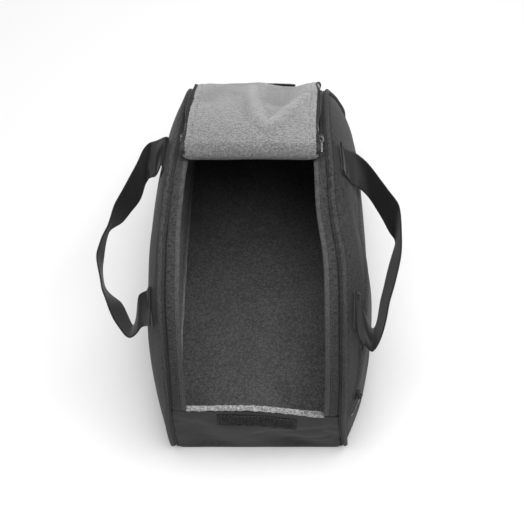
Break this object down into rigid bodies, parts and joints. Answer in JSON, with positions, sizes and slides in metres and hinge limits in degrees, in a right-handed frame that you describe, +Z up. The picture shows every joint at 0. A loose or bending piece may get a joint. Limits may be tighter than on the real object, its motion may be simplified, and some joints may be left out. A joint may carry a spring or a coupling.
{
  "type": "helmet bag",
  "caption": "Soft dome-shaped helmet carrying bag of padded nylon, fleece lined, standing open with its flap folded back and webbing handles fallen outwards.",
  "frame": {"origin": "middle of the underside of the base, on the surface the bag stands on", "axes": "+X across the bag to the pocket side, +Y from the front lip to the back, +Z up"},
  "size_m": [0.3687, 0.4832, 0.3338],
  "materials": {
    "nylon": "matt woven nylon",
    "webbing": "ribbed webbing with a slight sheen",
    "fleece": "napped fleece",
    "tape": "zip tape, hook tape and loop tape",
    "binding": "smooth binding tape",
    "metal": "bright zip sliders and pulls",
    "dark_metal": "dark painted slider and loop pull"
  },
  "bodies": {
    "bag": {"back_gusset_left": "nylon", "back_gusset_right": "nylon", "back_panel": "nylon", "base_panel": "nylon", "edge_binding_left": "binding", "edge_binding_right": "binding", "edge_strip_left": "nylon", "edge_strip_right": "nylon", "flap_fleece": "fleece", "flap_shell": "nylon", "front_panel": "nylon", "handle_left": "webbing", "handle_right": "webbing", "hook_strip": "tape", "lining_back": "fleece", "lining_base": "fleece", "lining_front": "fleece", "lining_side_left": "fleece", "lining_side_right": "fleece", "loop_strip": "tape", "main_left_slider": "metal", "main_right_slider": "metal", "main_zip_left": "tape", "main_zip_right": "tape", "piping_left": "nylon", "piping_right": "nylon", "pocket_slider": "dark_metal", "pocket_zip": "tape", "side_panel_left": "nylon", "side_panel_right": "nylon"},
    "main_left_pull": {"main_left_pull": "metal"},
    "main_right_pull": {"main_right_pull": "metal"},
    "pocket_pull": {"pocket_pull": "dark_metal"}
  },
  "joints": [
    {"name": "main_left_pull_hinge", "type": "hinge", "parent": "bag", "child": "main_left_pull", "pos_m": [-0.08675, 0.07341, 0.31111], "axis": [-1, 0, 0], "range_deg": [0, 150]},
    {"name": "main_right_pull_hinge", "type": "hinge", "parent": "bag", "child": "main_right_pull", "pos_m": [0.08125, 0.07341, 0.31111], "axis": [-1, 0, 0], "range_deg": [0, 150]},
    {"name": "pocket_pull_hinge", "type": "hinge", "parent": "bag", "child": "pocket_pull", "pos_m": [0.13109, -0.20463, 0.15289], "axis": [-0.5575, -0.6602, 0.5033], "range_deg": [0, 140]}
  ]
}
